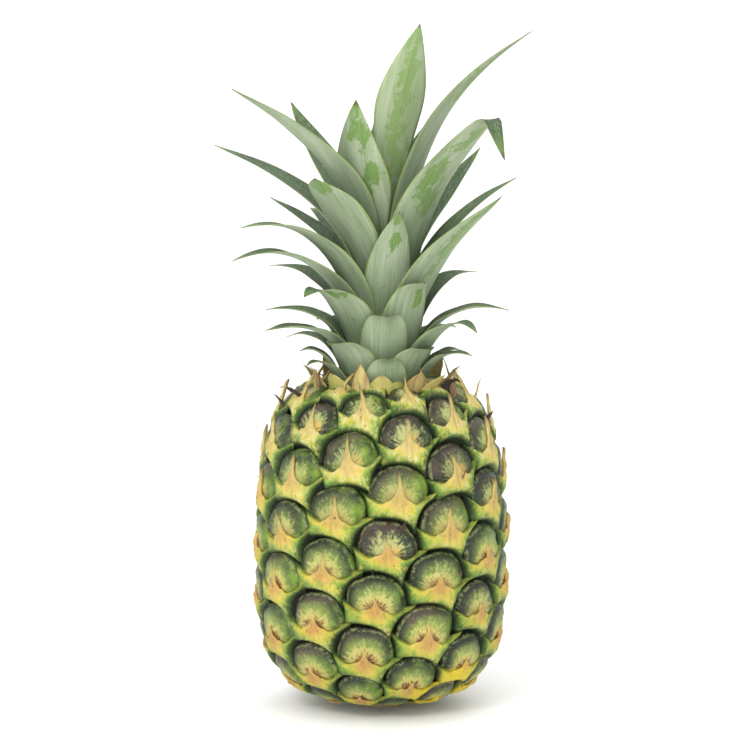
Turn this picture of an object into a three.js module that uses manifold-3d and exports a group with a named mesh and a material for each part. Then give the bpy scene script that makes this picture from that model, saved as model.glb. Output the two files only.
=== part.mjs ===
// A whole pineapple with its crown, standing on the flat spot round its cut stalk.
// Millimetres, +Z up. The origin is the middle of the flat spot, and the picture's side is -Y.
// The skin, the cut end of the stalk, the stem of the crown, and each leaf are solids of their own.

import * as THREE from 'three';
import { mergeVertices } from 'three/addons/utils/BufferGeometryUtils.js';
import Module from 'manifold-3d';

const wasm = await Module();
wasm.setup();

// Driving dimensions of the fruit. Its side is a full barrel, boxy at the shoulder and rounder below.
const FRUIT_RADIUS = 57.4;
const WIDEST_HEIGHT = 81.6;
const SHOULDER = { rise: 77, fullness: 2.3, root: 0.2 };
const BELLY = { rise: 79.6, fullness: 4.2, root: 0.4545 };
const FOOT_RADIUS = 24.0;
const NET_FOOT_RADIUS = 20.4;
const STALK_RADIUS = 12.0;
const STALK_DEPTH = 6.0;
const GAP = 0.3;

// The eyes follow one spiral: each is turned by DIVERGENCE and lifted by EYE_RISE from the last.
// Rises are measured along the side of the fruit, and its eyes shrink where it narrows.
const DIVERGENCE = THREE.MathUtils.degToRad(-138.046);
const EYE_RISE = 2.004;
const FIRST_TURN = THREE.MathUtils.degToRad(2.8);
const FIRST_RISE = 4.8;
const CELL_SHRINK = 0.36;
const SMALLEST_RADIUS = 4.0;
const PROFILE_STEPS = 2000;

// The skin's net: steps per eye, and the steps in [rows, columns] towards three neighbouring eyes
const CELL_STEPS = 6;
const TO_RIGHT_UP = [5, 2];
const TO_ABOVE = [13, 5];
const TO_LEFT_UP = [8, 3];

// Relief of one eye: a swollen dome above, a dry bract below whose point stands over the dome.
// On the last rows under the crown, SPIKE_ROWS below the top, the points stand up as spikes.
const DOME_HEIGHT = 4.4;
const DOME_FULLNESS = 2.6;
const CREASE_DEPTH = 1.4;
const BRACT_LIFT = 1.3;
const BRACT_HALF_WIDTH = 18.0;
const BRACT_FOOT = -13.0;
const BRACT_TOP = 1.5;
const POINT_FOOT = -4.0;
const POINT_RISE = 9.0;
const POINT_WIDTH = 4.0;
const POINT_LIFT = 4.2;
const POINT_LEAN = 2.0;
const SHOULDER_SPIKE = 9.0;
const SPIKE_ROWS = [34, 18];

// Radii between which the relief fades in from the flat foot, and from the foot of the crown
const FOOT_RIM = [19.2, 38.4];
const CROWN_RIM = [25.3, 33.0];

// The crown: leaves set round a cone-shaped stem
const CROWN_RADIUS = 22.0;
const STEM_FOOT_RADIUS = 20.5;
const STEM_TOP_RADIUS = 1.0;
const STEM_HEIGHT = 60.0;
const STEM_SEAT = 1.8;
const LOWEST_LEAF = 1.5;
const HIGHEST_LEAF = 55.0;
const LEAF_CROWDING = 1.5;
const LEAF_CLEARANCE = 2.4;
const OUTER_LEAN = 27.0;
const INNER_LEAN = 3.0;

// One leaf
const LEAF_STATIONS = 10;
const LEAF_COLUMNS = 4;
const LEAF_THICKNESS = 0.64;
const LEAF_POINT = 0.4;
const LEAF_BEND = 0.42;
const LEAF_TAPER = 0.9;
const SHEATH_WRAP = 0.67;
const SHEATH_SHARE = 0.55;
const MOST_CURL = 1.5;

const skinMaterial = new THREE.MeshStandardMaterial({ color: 0x7d8443, roughness: 0.55, metalness: 0 });
const stalkMaterial = new THREE.MeshStandardMaterial({ color: 0xc9b98a, roughness: 0.9, metalness: 0 });
const stemMaterial = new THREE.MeshStandardMaterial({ color: 0xb7b37c, roughness: 0.8, metalness: 0 });
const leafMaterial = new THREE.MeshStandardMaterial({ color: 0x8fa184, roughness: 0.6, metalness: 0 });

const radians = THREE.MathUtils.degToRad;
const mix = THREE.MathUtils.lerp;
const ease = THREE.MathUtils.smoothstep;

// Value at a key in a table whose key column rises, straight between its rows
function lookUp(key, table, keyColumn, valueColumn) {
  let low = 0;
  let high = table.length - 1;
  while (high - low > 1) {
    const middle = (low + high) >> 1;
    if (table[middle][keyColumn] > key) high = middle;
    else low = middle;
  }
  const span = table[high][keyColumn] - table[low][keyColumn];
  const share = THREE.MathUtils.clamp((key - table[low][keyColumn]) / span, 0, 1);
  return mix(table[low][valueColumn], table[high][valueColumn], share);
}

// Radius of the fruit at a height, under the relief of its eyes
function barrelRadius(height) {
  const half = height > WIDEST_HEIGHT ? SHOULDER : BELLY;
  const share = Math.abs(height - WIDEST_HEIGHT) / half.rise;
  return FRUIT_RADIUS * Math.max(0, 1 - share ** half.fullness) ** half.root;
}

// Rows of [spiral rise, radius, height] up the side, with cells that shrink towards both ends
function makeProfile() {
  const rows = [];
  for (let i = 0; i <= PROFILE_STEPS; i++) {
    const swing = Math.sin((i / PROFILE_STEPS - 0.5) * Math.PI);
    const height = WIDEST_HEIGHT + swing * (swing > 0 ? SHOULDER : BELLY).rise;
    rows.push([0, barrelRadius(height), height]);
  }
  for (let i = 1; i < rows.length; i++) {
    const step = Math.hypot(rows[i][1] - rows[i - 1][1], rows[i][2] - rows[i - 1][2]);
    const radius = Math.max(SMALLEST_RADIUS, (rows[i][1] + rows[i - 1][1]) / 2);
    rows[i][0] = rows[i - 1][0] + step * (FRUIT_RADIUS / radius) ** CELL_SHRINK;
  }
  const middle = lookUp(WIDEST_HEIGHT, rows, 2, 0);
  return rows.map(([rise, radius, height]) => [rise - middle, radius, height]);
}

const profile = makeProfile();
const lowerHalf = profile.slice(0, PROFILE_STEPS / 2 + 1);
const upperHalf = profile.slice(PROFILE_STEPS / 2).reverse();
const lowestRise = lookUp(NET_FOOT_RADIUS, lowerHalf, 1, 0);
const highestRise = lookUp(CROWN_RADIUS, upperHalf, 1, 0);
const crownFoot = lookUp(CROWN_RADIUS, upperHalf, 1, 2);

// Neighbouring eyes: five steps along the spiral lead right and up, eight back lead right and down
const rightUp = new THREE.Vector2(5 * DIVERGENCE + 4 * Math.PI, 5 * EYE_RISE);
const rightDown = new THREE.Vector2(-8 * DIVERGENCE - 6 * Math.PI, -8 * EYE_RISE);

// Place inside the cell of the nearest eye, in steps along rightUp and rightDown
function nearestEye(i, j) {
  let best = null;
  for (const di of [0, 1]) {
    for (const dj of [0, 1]) {
      const p = i - Math.floor(i) - di;
      const q = j - Math.floor(j) - dj;
      const edge = Math.max(Math.abs(2 * p + q), Math.abs(p + 2 * q), Math.abs(p - q));
      if (!best || edge < best.edge - 1e-6) best = { p, q, edge };
    }
  }
  return best;
}

// Height of the skin over the barrel, and how much of the bract's point there is, in an eye's cell
function eyeRelief({ p, q, edge }) {
  const across = Math.abs(FRUIT_RADIUS * (p * rightUp.x + q * rightDown.x));
  const up = p * rightUp.y + q * rightDown.y;
  const dome = DOME_HEIGHT * (1 - Math.min(1, edge) ** DOME_FULLNESS) - CREASE_DEPTH;
  const wing = Math.sqrt(Math.max(0, 1 - across / BRACT_HALF_WIDTH));
  const skirt = up < BRACT_TOP ? BRACT_LIFT * wing * ease(up, BRACT_FOOT, POINT_FOOT) : 0;
  const ridge = Math.exp(-((across / POINT_WIDTH) ** 2));
  const point = up < POINT_RISE + BRACT_TOP ? ease(up, POINT_FOOT, POINT_RISE) * ridge : 0;
  return { height: dome + skirt, point };
}

// One point of the skin, from its turn and rise on the spiral and its place in its eye
function skinPoint(turn, rise, cell) {
  const radius = lookUp(rise, profile, 0, 1);
  const height = lookUp(rise, profile, 0, 2);
  if (rise < 0 && radius < FOOT_RADIUS) return [radius * Math.sin(turn), -radius * Math.cos(turn), 0];
  const run = lookUp(rise + 0.5, profile, 0, 1) - lookUp(rise - 0.5, profile, 0, 1);
  const climb = lookUp(rise + 0.5, profile, 0, 2) - lookUp(rise - 0.5, profile, 0, 2);
  const slope = Math.hypot(run, climb);
  const relief = eyeRelief(cell);
  const fade = rise < 0
    ? ease(radius, FOOT_RIM[0], FOOT_RIM[1])
    : ease(radius, CROWN_RIM[0], CROWN_RIM[1]);
  const shoulder = ease(rise, highestRise - SPIKE_ROWS[0], highestRise - SPIKE_ROWS[1]);
  const lift = (relief.height + relief.point * POINT_LIFT) * fade;
  const lean = relief.point * POINT_LEAN * fade;
  const rho = radius + (climb * lift + run * lean) / slope;
  const spike = relief.point * shoulder * fade * SHOULDER_SPIKE;
  const tall = height + spike + (climb * lean - run * lift) / slope;
  return [rho * Math.sin(turn), -rho * Math.cos(turn), Math.max(0, tall)];
}

// The skin is one closed net: every cell of the spiral lattice is split alike, so that the creases
// between the eyes and the bracts' points fall on corners of the net.
function makeSkin() {
  const n = CELL_STEPS;
  const stepRise = EYE_RISE / n;
  const first = Math.ceil((lowestRise - FIRST_RISE) / stepRise);
  const last = Math.floor((highestRise - FIRST_RISE) / stepRise);
  const number = (row, column) => (row - first) * n + (((column % n) + n) % n);
  const points = [];
  for (let row = first; row <= last; row++) {
    for (let column = 0; column < n; column++) {
      const turn = FIRST_TURN + (row * DIVERGENCE + column * 2 * Math.PI) / n;
      const rise = FIRST_RISE + row * stepRise;
      // Eyes from the first one, i along rightUp and j along rightDown
      const i = (TO_LEFT_UP[0] * column - TO_LEFT_UP[1] * row) / n;
      const j = (TO_RIGHT_UP[0] * column - TO_RIGHT_UP[1] * row) / n;
      points.push(skinPoint(turn, rise, nearestEye(i, j)));
    }
  }
  const faces = [];
  for (let row = first; row <= last - TO_ABOVE[0]; row++) {
    for (let column = 0; column < n; column++) {
      const here = number(row, column);
      const [rightNext, above, leftNext] = [TO_RIGHT_UP, TO_ABOVE, TO_LEFT_UP].map(
        ([rows, columns]) => number(row + rows, column + columns),
      );
      faces.push([here, rightNext, above], [here, above, leftNext]);
    }
  }
  return closeEnds(points, faces);
}

// Closes each open rim of a net with a fan round a point in the middle of the rim
function closeEnds(points, faces) {
  const open = new Map();
  const used = new Set();
  for (const [a, b, c] of faces) {
    for (const [from, to] of [[a, b], [b, c], [c, a]]) used.add(`${from} ${to}`);
  }
  for (const edge of used) {
    const [from, to] = edge.split(' ').map(Number);
    if (!used.has(`${to} ${from}`)) open.set(to, from);
  }
  while (open.size > 0) {
    const rim = [open.keys().next().value];
    while (open.has(rim.at(-1))) {
      const next = open.get(rim.at(-1));
      open.delete(rim.at(-1));
      rim.push(next);
    }
    rim.pop();
    const mean = (axis) => rim.reduce((sum, k) => sum + points[k][axis], 0) / rim.length;
    const middle = points.push([mean(0), mean(1), mean(2)]) - 1;
    rim.forEach((from, k) => faces.push([from, rim[(k + 1) % rim.length], middle]));
  }
  return { points, faces };
}

function toGeometry({ points, faces }) {
  const geometry = new THREE.BufferGeometry();
  geometry.setAttribute('position', new THREE.Float32BufferAttribute(points.flat(), 3));
  geometry.setIndex(faces.flat());
  return geometry;
}

// Half the width of a leaf at a share of its length: held in by the bundle at its foot, then full,
// and drawn out to a point
function halfWidth(leaf, share, distance) {
  const taper = (1 - share ** leaf.fullness) ** LEAF_TAPER;
  return Math.max(LEAF_POINT, Math.min((leaf.width / 2) * taper, distance * SHEATH_WRAP));
}

// The middle line of a leaf in its own upright plane, from the stem out to the tip
function leafLine(leaf) {
  const foot = new THREE.Vector3(leaf.footRadius, 0, leaf.footHeight);
  const tip = new THREE.Vector3(leaf.reach, 0, leaf.top);
  const pull = foot.distanceTo(tip) * LEAF_BEND;
  const heading = (lean) => new THREE.Vector3(Math.sin(radians(lean)), 0, Math.cos(radians(lean)));
  const start = foot.clone().addScaledVector(heading(leaf.startLean), pull);
  const end = tip.clone().addScaledVector(heading(leaf.endLean), -pull);
  const path = new THREE.CurvePath();
  path.add(new THREE.CubicBezierCurve3(foot, start, end, tip));
  if (leaf.fold) {
    const drop = tip.clone().addScaledVector(heading(leaf.fold.lean), leaf.fold.length);
    path.add(new THREE.LineCurve3(tip, drop));
  }
  return path;
}

// A leaf is an arched blade, curled round the stem at its foot and channelled towards its tip
function makeLeaf(leaf) {
  const line = leafLine(leaf);
  const points = [];
  for (let k = 0; k <= LEAF_STATIONS; k++) {
    const share = k / LEAF_STATIONS;
    const middle = line.getPointAt(share);
    const along = line.getTangentAt(share);
    const outer = new THREE.Vector3(along.z, 0, -along.x);
    const half = halfWidth(leaf, share, middle.x);
    const curl = mix(leaf.footRadius, leaf.curl, ease(share, 0, SHEATH_SHARE));
    for (const face of [1, -1]) {
      for (let c = 0; c <= LEAF_COLUMNS; c++) {
        const side = face * (1 - (2 * c) / LEAF_COLUMNS);
        const angle = Math.min(half / curl, MOST_CURL) * side;
        const reach = curl + (face * LEAF_THICKNESS) / 2;
        const inward = curl - reach * Math.cos(angle);
        const place = middle.clone().addScaledVector(outer, -inward);
        place.y += reach * Math.sin(angle) + leaf.sway * share ** 2;
        points.push(place.toArray());
      }
    }
  }
  return toGeometry(closeEnds(points, ringFaces(LEAF_STATIONS, 2 * (LEAF_COLUMNS + 1))));
}

// Joins rings of points one after the other; both faces of a blade are split alike
function ringFaces(rings, size) {
  const faces = [];
  for (let k = 0; k < rings; k++) {
    for (let c = 0; c < size; c++) {
      const here = k * size + c;
      const beside = k * size + ((c + 1) % size);
      const back = c < size / 2 - 1 || c === size - 1;
      if (back) faces.push([here, here + size, beside + size], [here, beside + size, beside]);
      else faces.push([here, here + size, beside], [beside, here + size, beside + size]);
    }
  }
  return faces;
}

// Every leaf from the lowest and outermost to the heart of the crown. Turn is from the picture's
// side, positive to the right; reach and top place the tip; endLean is from upright, in degrees;
// sway is how far the tip bends sideways.
const crownLeaves = [
  { turn: 6, reach: 31, top: 175, endLean: 80, width: 22 },
  { turn: 150, reach: 38, top: 173, endLean: 110, width: 18 },
  { turn: -62, reach: 41, top: 170, endLean: 125, width: 14 },
  { turn: 106, reach: 42, top: 173, endLean: 115, width: 16 },
  { turn: -150, reach: 40, top: 174, endLean: 110, width: 20 },
  { turn: 73, reach: 46, top: 174, endLean: 112, width: 18 },
  { turn: -86, reach: 40, top: 175, endLean: 115, width: 17 },
  { turn: 178, reach: 42, top: 179, endLean: 105, width: 24 },
  { turn: 39, reach: 38, top: 179, endLean: 100, width: 26 },
  { turn: -36, reach: 42, top: 182, endLean: 105, width: 27 },
  { turn: 132, reach: 50, top: 182, endLean: 110, width: 22 },
  { turn: -106, reach: 48, top: 180, endLean: 115, width: 18 },
  { turn: 60, reach: 53, top: 187, endLean: 140, width: 24 },
  { turn: -142, reach: 52, top: 185, endLean: 110, width: 24 },
  { turn: -66, reach: 61, top: 188, endLean: 100, width: 22 },
  { turn: 4, reach: 37, top: 196, endLean: 92, width: 25, fullness: 3.4 },
  { turn: 168, reach: 56, top: 195, endLean: 105, width: 25 },
  { turn: 88, reach: 62, top: 195, endLean: 105, width: 22 },
  { turn: -98, reach: 57, top: 194, endLean: 100, width: 22 },
  { turn: 32, reach: 40, top: 212, endLean: 85, width: 28 },
  { turn: -165, reach: 60, top: 205, endLean: 100, width: 28 },
  { turn: -43, reach: 54, top: 206, endLean: 118, width: 32 },
  { turn: 122, reach: 56, top: 210, endLean: 100, width: 22 },
  { turn: -114, reach: 60, top: 214, endLean: 95, width: 24 },
  { turn: 56, reach: 70, top: 256, endLean: 52, width: 32 },
  { turn: 170, reach: 58, top: 226, endLean: 90, width: 26 },
  { turn: -68, reach: 77, top: 222, endLean: 112, width: 28 },
  { turn: 104, reach: 68, top: 258, endLean: 62, width: 27 },
  { turn: -144, reach: 60, top: 240, endLean: 82, width: 28 },
  { turn: -60, reach: 77, top: 239, endLean: 100, width: 31 },
  { turn: 13, reach: 35, top: 246, endLean: 38, width: 23 },
  { turn: 152, reach: 60, top: 252, endLean: 75, width: 28 },
  { turn: 44, reach: 74, top: 293, endLean: 54, width: 32, fold: { lean: 155, length: 22 } },
  { turn: -110, reach: 58, top: 248, endLean: 62, width: 24 },
  { turn: 126, reach: 60, top: 271, endLean: 44, width: 25 },
  { turn: -108, reach: 86, top: 273, endLean: 70, width: 31 },
  { turn: 172, reach: 56, top: 264, endLean: 65, width: 24 },
  { turn: -37, reach: 46, top: 262, endLean: 74, width: 32 },
  { turn: 146, reach: 46, top: 287, endLean: 42, width: 23 },
  { turn: 64, reach: 82, top: 334, endLean: 58, width: 27 },
  { turn: -134, reach: 62, top: 293, endLean: 36, width: 26 },
  { turn: -54, reach: 87, top: 306, endLean: 62, width: 30 },
  { turn: 178, reach: 42, top: 294, endLean: 36, width: 26 },
  { turn: -30, reach: 27, top: 300, endLean: 16, width: 38, fullness: 3.4, sway: -1 },
  { turn: 22, reach: 30, top: 336, endLean: 22, width: 35, fullness: 3.2, sway: 10 },
];

function stemRadius(height) {
  return mix(STEM_FOOT_RADIUS, STEM_TOP_RADIUS, (height - crownFoot) / STEM_HEIGHT);
}

// Sets each leaf's foot on the cone of the crown's stem, the outer ones lowest
function placeLeaves() {
  return crownLeaves.map((leaf, k) => {
    const share = k / (crownLeaves.length - 1);
    const footHeight = crownFoot + mix(LOWEST_LEAF, HIGHEST_LEAF, share ** LEAF_CROWDING);
    const footRadius = stemRadius(footHeight) + LEAF_CLEARANCE;
    const startLean = mix(OUTER_LEAN, INNER_LEAN, share);
    return { fullness: 2.6, curl: leaf.width, sway: 0, ...leaf, footRadius, footHeight, startLean };
  });
}

function makeStem() {
  const outline = [[0, 0], [STEM_FOOT_RADIUS, 0], [STEM_TOP_RADIUS, STEM_HEIGHT], [0, STEM_HEIGHT]];
  const stem = new THREE.LatheGeometry(outline.map(([x, y]) => new THREE.Vector2(x, y)), 24);
  return stem.rotateX(Math.PI / 2);
}

function makeStalk() {
  const outline = [[0, 0], [STALK_RADIUS, 0], [STALK_RADIUS, STALK_DEPTH - GAP], [0, STALK_DEPTH - GAP]];
  const stalk = new THREE.LatheGeometry(outline.map(([x, y]) => new THREE.Vector2(x, y)), 24);
  return stalk.rotateX(Math.PI / 2);
}

// The stalk goes up into the fruit, so the skin's solid has a plain hole for it
function cutStalkHole(skin) {
  const outline = [[0, -1], [STALK_RADIUS + GAP, -1], [STALK_RADIUS + GAP, STALK_DEPTH], [0, STALK_DEPTH]];
  const hole = new THREE.LatheGeometry(outline.map(([x, y]) => new THREE.Vector2(x, y)), 24);
  hole.rotateX(Math.PI / 2);
  return fromSolid(toSolid(skin).subtract(toSolid(hole)));
}

function toSolid(geometry) {
  const bare = geometry.clone();
  bare.deleteAttribute('normal');
  bare.deleteAttribute('uv');
  const merged = mergeVertices(bare, 1e-4);
  const vertProperties = new Float32Array(merged.attributes.position.array);
  const triVerts = new Uint32Array(merged.index.array);
  return new wasm.Manifold(new wasm.Mesh({ numProp: 3, vertProperties, triVerts }));
}

function fromSolid(solid) {
  const mesh = solid.getMesh();
  const geometry = new THREE.BufferGeometry();
  geometry.setAttribute('position', new THREE.BufferAttribute(mesh.vertProperties, 3));
  geometry.setIndex(new THREE.BufferAttribute(mesh.triVerts, 1));
  return geometry;
}

function addPiece(group, name, geometry, material) {
  const piece = new THREE.Mesh(geometry, material);
  piece.name = name;
  group.add(piece);
  return piece;
}

function buildPineapple() {
  const pineapple = new THREE.Group();
  addPiece(pineapple, 'fruit', cutStalkHole(toGeometry(makeSkin())), skinMaterial);
  addPiece(pineapple, 'stalk', makeStalk(), stalkMaterial);
  const stem = addPiece(pineapple, 'crown_stem', makeStem(), stemMaterial);
  stem.position.z = crownFoot + STEM_SEAT;
  placeLeaves().forEach((leaf, k) => {
    const name = `leaf_${String(k + 1).padStart(2, '0')}`;
    const blade = addPiece(pineapple, name, makeLeaf(leaf), leafMaterial);
    blade.rotation.z = radians(leaf.turn - 90);
  });
  return pineapple;
}

export default buildPineapple();
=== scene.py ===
"""A whole pineapple with its crown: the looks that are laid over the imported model."""

import math

import bpy
import numpy as np
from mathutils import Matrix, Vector


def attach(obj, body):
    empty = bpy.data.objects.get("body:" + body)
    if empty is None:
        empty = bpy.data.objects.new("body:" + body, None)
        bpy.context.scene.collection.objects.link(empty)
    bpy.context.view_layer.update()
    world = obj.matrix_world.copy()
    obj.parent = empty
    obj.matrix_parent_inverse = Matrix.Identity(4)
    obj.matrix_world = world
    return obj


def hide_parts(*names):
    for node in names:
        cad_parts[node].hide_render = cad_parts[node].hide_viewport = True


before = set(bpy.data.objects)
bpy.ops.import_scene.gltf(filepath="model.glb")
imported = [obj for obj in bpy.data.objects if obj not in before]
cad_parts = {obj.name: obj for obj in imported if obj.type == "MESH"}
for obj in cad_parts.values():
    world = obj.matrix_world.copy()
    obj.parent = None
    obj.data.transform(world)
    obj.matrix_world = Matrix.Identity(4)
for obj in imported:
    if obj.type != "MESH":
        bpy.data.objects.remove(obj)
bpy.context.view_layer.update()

chance = np.random.default_rng(7)

# Lengths below are millimetres, and every mesh is scaled to metres when it is made
MM = 0.001

# The fruit's side, as the part's source draws it: a full barrel, boxy at the shoulder
FRUIT_RADIUS = 57.4
WIDEST_HEIGHT = 81.6
SHOULDER = {"rise": 77.0, "fullness": 2.3, "root": 0.2}
BELLY = {"rise": 79.6, "fullness": 4.2, "root": 0.4545}
PROFILE_STEPS = 2000
POLE_RADIUS = 4.0
SLOPE_STEP = 0.5
LOWEST_HEIGHT = 0.02
FOOT_RADIUS = 24.0
CROWN_RADIUS = 22.0

# The spiral that the eyes follow
DIVERGENCE = math.radians(-138.046)
EYE_RISE = 2.004
FIRST_TURN = math.radians(2.8)
FIRST_RISE = 4.8
CELL_SHRINK = 0.36
EYES = range(-58, 52)
EYE_TILT = 0.075
EYE_SIZE_SPREAD = 0.03
# The six eyes round an eye, as steps along the spiral and the whole turns to take off
NEIGHBOURS = [(5, 2), (-8, -3), (-5, -2), (8, 3), (13, 5), (-13, -5)]

# The rind under the eyes
GROOVE_DEPTH = 2.2
BED_LIFT = 0.3 - GROOVE_DEPTH
BED_ROWS = 130
BED_COLUMNS = 144
BED_MARGIN = 6

# An eye's cushion, in its own place: x to the right, y up, from the middle of its wings
DOME_HALF_WIDTH = 15.9
DOME_TOP = 16.2
DOME_BOTTOM = 8.0
DOME_SQUARENESS = 2.3
DOME_HEIGHT = 7.2
DOME_ROLL = 5
DOME_RINGS = 16
DOME_SPOKES = 44
RING_CROWDING = 1.6
# How far a cushion's lower part sinks, and the two hollows beside the bract's point
SUNK_LOWER = 1.3
HOLLOW = {"x": 5.0, "y": 3.0, "wide": 4.6, "tall": 6.0, "deep": 1.5}
LUMP_HEIGHT = 0.24

# An eye's bract: a point between two scallops, and raised wings
WING_SPAN = 18.6
SPIRE_WIDTH = 5.5
SCALLOP = -2.4
BRACT_BODY = 5.0
BRACT_DIVE = 5.7
SPIRE_RIDGE = 0.9
LOW_PROUD, HIGH_PROUD = -1.1, 2.2
BRACT_COLUMNS = 35
BRACT_ROWS = 18
BRACT_CROWDING = 1.15
BRACT_EDGE = 0.7
BRACT_HEART = (0.0, -4.0, 2.6)
STUMPS = 0.5

# Fields that the materials read: an eye's own place, and how high on the spiral the eye is
UNIT = 20.0
RISE_UNIT = 110.0
GAP_UNIT = 10.0
RIM_UNIT = 12.0
FAR_OFF = 99.0

# The crown's stem and leaves
STEM_FOOT_RADIUS = 20.5
STEM_TOP_RADIUS = 1.0
STEM_HEIGHT = 60.0
LOWEST_LEAF = 1.5
HIGHEST_LEAF = 55.0
LEAF_CROWDING = 1.5
LEAF_CLEARANCE = 2.4
OUTER_LEAN = 27.0
INNER_LEAN = 3.0
LEAF_BEND = 0.42
LEAF_TAPER = 0.9
LEAF_POINT = 0.4
PLAIN_LEAF = {"fullness": 2.6, "sway": 0, "fold": None}
SHEATH_WRAP = 0.92
SHEATH_SHARE = 0.55
# The blade and its sheath run into each other by a smooth minimum of this power
SHEATH_BLEND = 5
MOST_CURL = 1.5
LEAF_STATIONS = 60
LEAF_COLUMNS = 14
LEAF_THICK = 0.42
LINE_STEPS = 400
FOLD_STEPS = 60
FOLD_ROUNDING = 21
LENGTH_UNIT = 100.0

# Small dry blades
BLADE_THICK = 0.3
BLADE_STATIONS = 14
BLADE_COLUMNS = 6
BLADE_POINT = 0.15
BLADE_STAND = 1.5
# Blades wider than this are bracts, which open out flat; narrower ones are rolled
BRACT_WIDTH = 10

# Where a leaf's bloom is rubbed off: share along, side across, and how far each way
RUBBED = {
    45: [(0.8, 0.1, 0.22, 0.5), (0.55, 0.0, 0.2, 0.4), (0.42, 0.5, 0.1, 0.4)],
    44: [(0.85, 0.2, 0.16, 0.8), (0.6, 0.5, 0.08, 0.35), (0.5, 0.1, 0.07, 0.3)],
    40: [(0.8, 0.0, 0.2, 0.6)],
    38: [(0.93, 0.0, 0.08, 0.9)],
    33: [(0.55, -0.3, 0.16, 0.5), (0.42, 0.2, 0.08, 0.4), (0.75, 0.3, 0.1, 0.5)],
    31: [(0.72, 0.1, 0.08, 0.4), (0.93, 0.0, 0.06, 0.7)],
    25: [(0.62, 0.0, 0.22, 0.6), (0.88, 0.1, 0.12, 0.8)],
    20: [(0.62, 0.4, 0.12, 0.4)],
    22: [(0.7, 0.3, 0.12, 0.5)],
}

# Dry blades on the skin: turn, height, length, width, lean off upright, curl and tone
FOOT_BRACTS = [
    (-19, 156.8, 16.0, 12, -14, 8, 0.6),
    (0, 157.4, 11.0, 16, 0, 34, 0.74),
    (30, 156.9, 15.0, 14, 20, 30, 0.58),
    (46, 156.9, 15.0, 12, 34, 26, 0.66),
    (14, 157.6, 8.0, 12, 10, 40, 0.8),
    (66, 157.0, 15.0, 14, 30, 30, 0.55),
    (92, 156.6, 13.0, 16, 14, 36, 0.7),
    (122, 157.0, 14.5, 15, 8, 28, 0.6),
    (150, 156.7, 13.0, 17, 12, 30, 0.75),
    (178, 157.0, 15.0, 15, 4, 26, 0.62),
    (-154, 156.8, 12.5, 16, 14, 34, 0.72),
    (-126, 157.0, 14.0, 15, 10, 24, 0.58),
    (-98, 156.7, 13.0, 16, 18, 30, 0.7),
    (-70, 157.0, 14.0, 13, 16, 22, 0.55),
    (-44, 157.2, 12.0, 17, 8, 42, 0.76),
]
WITHERED = [
    (-66, 152.0, 12.0, 6.0, 44, 12, 0.08),
    (-86, 145.0, 11.0, 5.0, 24, 20, 0.12),
    (-64, 155.0, 14.0, 6.0, -6, 16, 0.48),
    (58, 153.5, 15.0, 8.0, -30, 150, 0.06),
    (62, 152.5, 13.0, 6.0, 6, -20, 0.42),
    (66, 153.0, 10.0, 6.0, -50, 60, 0.1),
    (84, 147.0, 16.0, 3.6, 8, 10, 0.6),
    (82, 140.0, 9.0, 6.0, 60, -50, 0.12),
    (78, 128.0, 8.0, 5.0, 30, -60, 0.14),
    (-100, 150.0, 11.0, 4.6, 20, 90, 0.2),
    (130, 150.0, 11.0, 4.6, 14, 120, 0.12),
    (165, 151.0, 12.0, 4.0, 6, 40, 0.55),
    (-140, 152.0, 11.0, 4.6, 12, 100, 0.15),
]
THREADS = 26

# Every leaf from the lowest and outermost to the heart: turn, reach, top, end lean and width.
# They are the part's, apart from 25, 31, 38, 40, 41, 44 and 45, which were changed here alone.
CROWN_LEAVES = [
    (6, 31, 175, 80, 22),
    (150, 38, 173, 110, 18),
    (-62, 41, 170, 125, 14),
    (106, 42, 173, 115, 16),
    (-150, 40, 174, 110, 20),
    (73, 46, 174, 112, 18),
    (-86, 40, 175, 115, 17),
    (178, 42, 179, 105, 24),
    (39, 38, 179, 100, 26),
    (-36, 42, 182, 105, 27),
    (132, 50, 182, 110, 22),
    (-106, 48, 180, 115, 18),
    (60, 53, 187, 140, 24),
    (-142, 52, 185, 110, 24),
    (-66, 61, 188, 100, 22),
    (4, 37, 196, 92, 25),
    (168, 56, 195, 105, 25),
    (88, 62, 195, 105, 22),
    (-98, 57, 194, 100, 22),
    (32, 40, 212, 85, 28),
    (-165, 60, 205, 100, 28),
    (-43, 54, 206, 118, 32),
    (122, 56, 210, 100, 22),
    (-114, 60, 214, 95, 24),
    (56, 69, 254, 52, 38),
    (170, 58, 226, 90, 26),
    (-68, 77, 222, 112, 28),
    (104, 68, 258, 62, 27),
    (-144, 60, 240, 82, 28),
    (-60, 77, 239, 100, 31),
    (11, 35, 246, 38, 28),
    (152, 60, 252, 75, 28),
    (44, 74, 293, 54, 32),
    (-110, 58, 248, 62, 24),
    (126, 60, 271, 44, 25),
    (-108, 86, 273, 70, 31),
    (172, 56, 264, 65, 24),
    (-45, 45, 262, 38, 34),
    (146, 46, 287, 42, 23),
    (64, 79, 332, 58, 27),
    (-134, 62, 293, 36, 32),
    (-54, 87, 306, 62, 30),
    (178, 42, 294, 36, 26),
    (-34, 29, 299, 4, 46),
    (20, 29, 335, 22, 50),
]
# Leaves with a blunter or sharper end, a sway to the side, or a folded tip (lean and length)
LEAF_HABITS = {
    16: {"fullness": 3.4},
    25: {"fullness": 2.0},
    31: {"fullness": 2.2, "sway": 2},
    33: {"fold": (155, 22)},
    38: {"fullness": 8.0},
    41: {"fullness": 2.2},
    44: {"fullness": 2.1, "sway": 5},
    45: {"fullness": 2.0, "sway": 9},
}


def ease(value, low, high):
    """Smooth step from 0 at low to 1 at high."""
    share = np.clip((value - low) / (high - low), 0, 1)
    return share * share * (3 - 2 * share)


def mix(low, high, share):
    return low + (high - low) * share


# Meshes


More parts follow.
